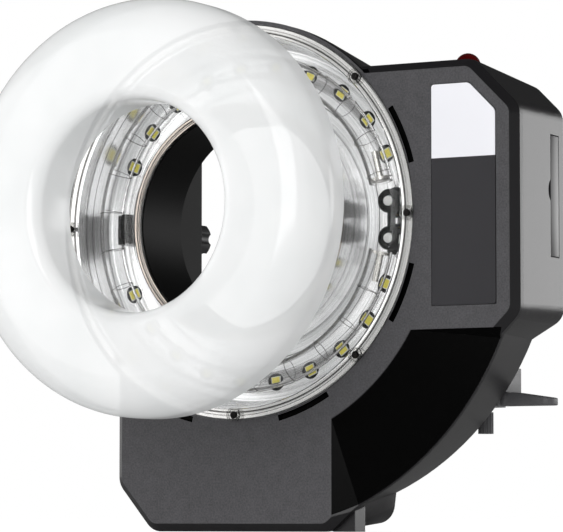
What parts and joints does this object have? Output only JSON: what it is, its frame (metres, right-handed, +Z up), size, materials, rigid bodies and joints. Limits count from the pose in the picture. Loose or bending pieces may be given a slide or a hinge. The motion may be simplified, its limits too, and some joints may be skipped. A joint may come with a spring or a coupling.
{
  "type": "ring flash",
  "caption": "Battery ring flash for a camera: ring-shaped flash tube with modelling LEDs round an open lens tunnel, control block, battery base and lift-off frosted diffuser.",
  "frame": {"origin": "on the ring's axis, in the plane of the housing's front face", "axes": "+Z up as it stands, +Y to the back along the lens axis, +X to the control block's side"},
  "size_m": [0.2565, 0.192, 0.2563],
  "materials": {
    "housing_black": "fine texture",
    "tunnel_black": "matte",
    "reflector_silver": "polished",
    "board_green": "satin",
    "led_yellow": "gloss",
    "tube_glass": "clear",
    "bright_metal": "bright",
    "boot_black": "matte",
    "cap_white": "gloss",
    "clip_clear": "clear",
    "cover_clear": "clear",
    "label_face": "satin",
    "sensor_red": "gloss",
    "flap_rubber": "satin",
    "socket_black": "matte",
    "display_glass": "gloss",
    "display_grey": "satin",
    "spacer_metal": "satin",
    "button_grey": "satin",
    "control_black": "satin",
    "capacitor_sleeve": "gloss",
    "coil_yellow": "gloss",
    "battery_black": "fine texture",
    "bay_black": "matte",
    "contact_gold": "bright",
    "bracket_black": "satin",
    "knob_black": "satin",
    "foot_rubber": "matte",
    "diffuser_frost": "frosted"
  },
  "bodies": {
    "housing": {"front_shell": "housing_black", "rear_shell": "housing_black", "lens_tunnel": "tunnel_black", "reflector_ring": "reflector_silver", "led_board": "board_green", "sensor_board": "board_green", "control_board": "board_green", "power_board": "board_green", "modelling_leds": "led_yellow", "flash_tube": "tube_glass", "tube_electrodes": "bright_metal", "trigger_wire": "bright_metal", "cover_screws": "bright_metal", "shell_screws": "bright_metal", "bracket_screws": "bright_metal", "lever_pin": "bright_metal", "tube_end_boots": "boot_black", "boot_caps": "cap_white", "tube_clip": "clip_clear", "clear_cover": "cover_clear", "label_plate": "label_face", "sensor_dome": "sensor_red", "socket_block": "socket_black", "display_window": "display_glass", "display_module": "display_grey", "board_spacers": "spacer_metal", "main_capacitors": "capacitor_sleeve", "trigger_coil": "coil_yellow", "battery_bay": "bay_black", "battery_contacts": "contact_gold", "bracket_block": "bracket_black", "rear_feet": "foot_rubber"},
    "diffuser_ring": {"diffuser": "diffuser_frost"},
    "socket_flap": {"port_flap": "flap_rubber"},
    "mode_key": {"mode_button": "button_grey"},
    "group_key": {"group_button": "button_grey"},
    "sync_key": {"sync_button": "button_grey"},
    "lamp_key": {"lamp_button": "button_grey"},
    "dial": {"control_dial": "control_black"},
    "set_key": {"set_button": "control_black"},
    "switch": {"power_switch": "control_black"},
    "battery": {"battery_pack": "battery_black"},
    "battery_catch": {"battery_latch": "control_black"},
    "paddle": {"clamp_lever": "bracket_black"},
    "ribbed_knob": {"clamp_knob": "knob_black"},
    "lobed_knob": {"thumb_knob": "knob_black"}
  },
  "joints": [
    {"name": "diffuser_slide", "type": "slide", "parent": "housing", "child": "diffuser_ring", "axis": [0, 1, 0], "range_m": [0, 0.0712]},
    {"name": "flap_hinge", "type": "hinge", "parent": "housing", "child": "socket_flap", "pos_m": [0.15261, 0.05287, 0], "axis": [0, 0, 1], "range_deg": [0, 100]},
    {"name": "mode_press", "type": "slide", "parent": "housing", "child": "mode_key", "axis": [0, -1, 0], "range_m": [0, 0.001], "stiffness_N_per_m": 400, "springref_m": -0.001},
    {"name": "group_press", "type": "slide", "parent": "housing", "child": "group_key", "axis": [0, -1, 0], "range_m": [0, 0.001], "stiffness_N_per_m": 400, "springref_m": -0.001},
    {"name": "sync_press", "type": "slide", "parent": "housing", "child": "sync_key", "axis": [0, -1, 0], "range_m": [0, 0.001], "stiffness_N_per_m": 400, "springref_m": -0.001},
    {"name": "lamp_press", "type": "slide", "parent": "housing", "child": "lamp_key", "axis": [0, -1, 0], "range_m": [0, 0.001], "stiffness_N_per_m": 400, "springref_m": -0.001},
    {"name": "dial_turn", "type": "hinge", "parent": "housing", "child": "dial", "pos_m": [0.112, 0.06, -0.018], "axis": [0, 1, 0], "continuous": true},
    {"name": "set_press", "type": "slide", "parent": "housing", "child": "set_key", "axis": [0, -1, 0], "range_m": [0, 0.001], "stiffness_N_per_m": 400, "springref_m": -0.001},
    {"name": "switch_slide", "type": "slide", "parent": "housing", "child": "switch", "axis": [1, 0, 0], "range_m": [0, 0.005]},
    {"name": "battery_slide", "type": "slide", "parent": "housing", "child": "battery", "axis": [0, 1, 0], "range_m": [0, 0.06]},
    {"name": "catch_slide", "type": "slide", "parent": "housing", "child": "battery_catch", "axis": [0, 0, 1], "range_m": [0, 0.004], "stiffness_N_per_m": 200, "springref_m": -0.002},
    {"name": "lever_turn", "type": "hinge", "parent": "housing", "child": "paddle", "pos_m": [0.1145, 0.075, -0.089], "axis": [0, 0, 1], "range_deg": [0, 90]},
    {"name": "knob_turn", "type": "hinge", "parent": "housing", "child": "ribbed_knob", "pos_m": [0.1025, 0.075, -0.1], "axis": [0, 0, 1], "continuous": true},
    {"name": "thumb_turn", "type": "hinge", "parent": "housing", "child": "lobed_knob", "pos_m": [-0.0705, 0.07, -0.001], "axis": [0, 1, 0], "continuous": true}
  ]
}
